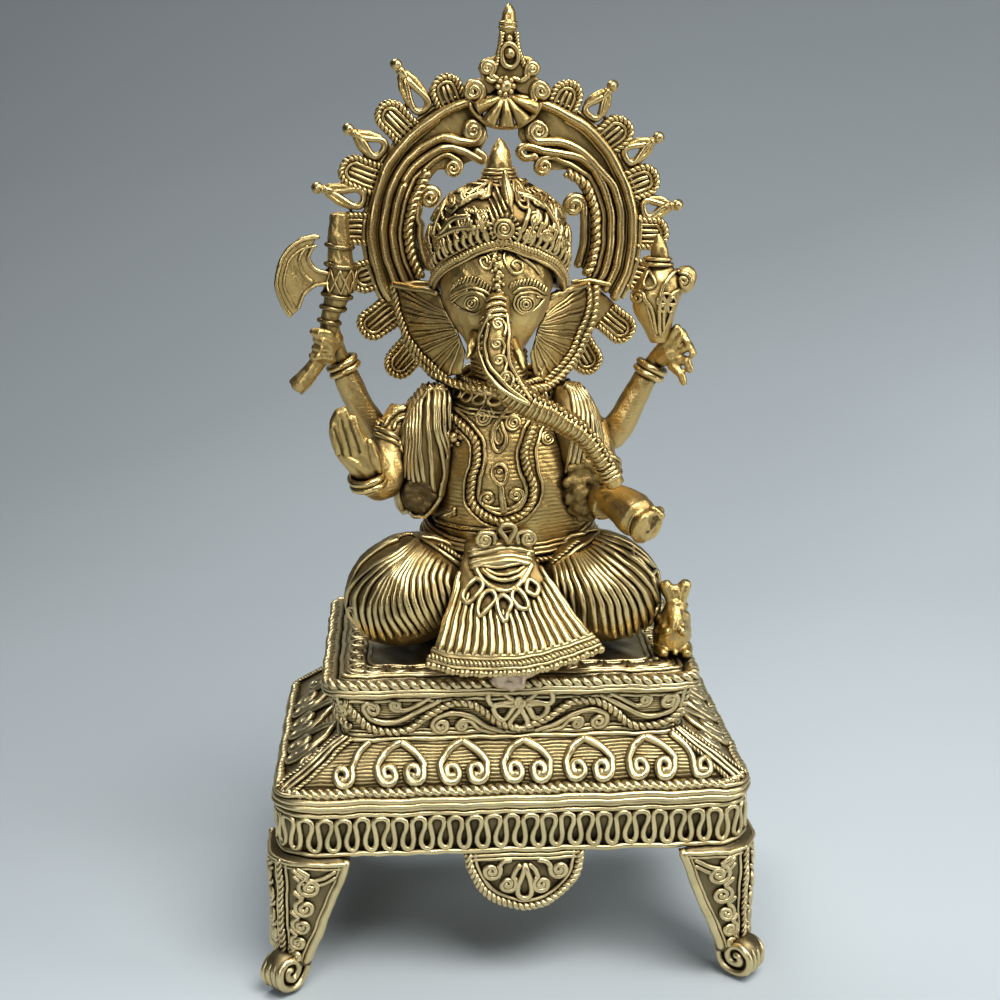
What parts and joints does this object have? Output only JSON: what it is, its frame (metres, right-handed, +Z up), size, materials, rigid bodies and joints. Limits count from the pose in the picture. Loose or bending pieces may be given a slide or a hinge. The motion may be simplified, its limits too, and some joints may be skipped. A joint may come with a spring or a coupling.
{
  "type": "ganesha idol",
  "caption": "Seated four-armed Ganesha figure in lost-wax brass thread work, with a pierced halo, on a stepped throne with scroll feet.",
  "frame": {"origin": "on the floor under the middle of the object's bounding box", "axes": "+Z up, -Y towards the front of the figure, +X towards the viewer's right when facing it"},
  "size_m": [0.1626, 0.1186, 0.3],
  "materials": {
    "cast_brass": "cast, worn bright on the high points, olive-brown patina in the recesses",
    "thread_brass": "fine cast thread and rope, brightest on its crests",
    "throne_brass": "cast, duller and darker, with dark olive patina in the recesses",
    "braze_filler": "rough pinkish repair metal"
  },
  "bodies": {
    "root": {"apron_band": "throne_brass", "axe_blade": "cast_brass", "axe_shaft": "cast_brass", "belly_garland": "thread_brass", "braze_fillet": "braze_filler", "collar": "thread_brass", "crown_dome": "cast_brass", "crown_finial": "cast_brass", "crown_rosette": "thread_brass", "dhoti_fan": "cast_brass", "ear_left": "cast_brass", "ear_right": "cast_brass", "front_arm_left": "cast_brass", "front_arm_right": "cast_brass", "front_bracelet_right": "thread_brass", "front_hand_left": "cast_brass", "front_hand_right": "cast_brass", "front_pendant": "throne_brass", "halo_crest": "cast_brass", "halo_lower_rope": "thread_brass", "halo_outer_wire": "thread_brass", "halo_plate_left": "thread_brass", "halo_plate_right": "thread_brass", "halo_rope_left": "thread_brass", "halo_rope_right": "thread_brass", "halo_scroll_left": "thread_brass", "halo_scroll_right": "thread_brass", "halo_shell": "cast_brass", "head": "cast_brass", "headband": "thread_brass", "leg_back_left": "throne_brass", "leg_back_right": "throne_brass", "leg_front_left": "throne_brass", "leg_front_right": "throne_brass", "lotus_bud": "cast_brass", "lower_tier": "throne_brass", "mouse": "cast_brass", "neck": "cast_brass", "rear_arm_left": "cast_brass", "rear_arm_right": "cast_brass", "rear_bracelet_left": "thread_brass", "rear_bracelet_right": "thread_brass", "rear_hand_left": "cast_brass", "rear_hand_right": "cast_brass", "rim_moulding": "throne_brass", "seat_rope_border": "throne_brass", "seat_slab": "throne_brass", "shawl_left": "cast_brass", "shawl_right": "cast_brass", "sweet": "cast_brass", "thigh_left": "cast_brass", "thigh_right": "cast_brass", "torso": "cast_brass", "trunk": "cast_brass", "tusk_left": "cast_brass", "tusk_right": "cast_brass", "upper_neck": "throne_brass", "waist_belt": "thread_brass"}
  },
  "joints": []
}
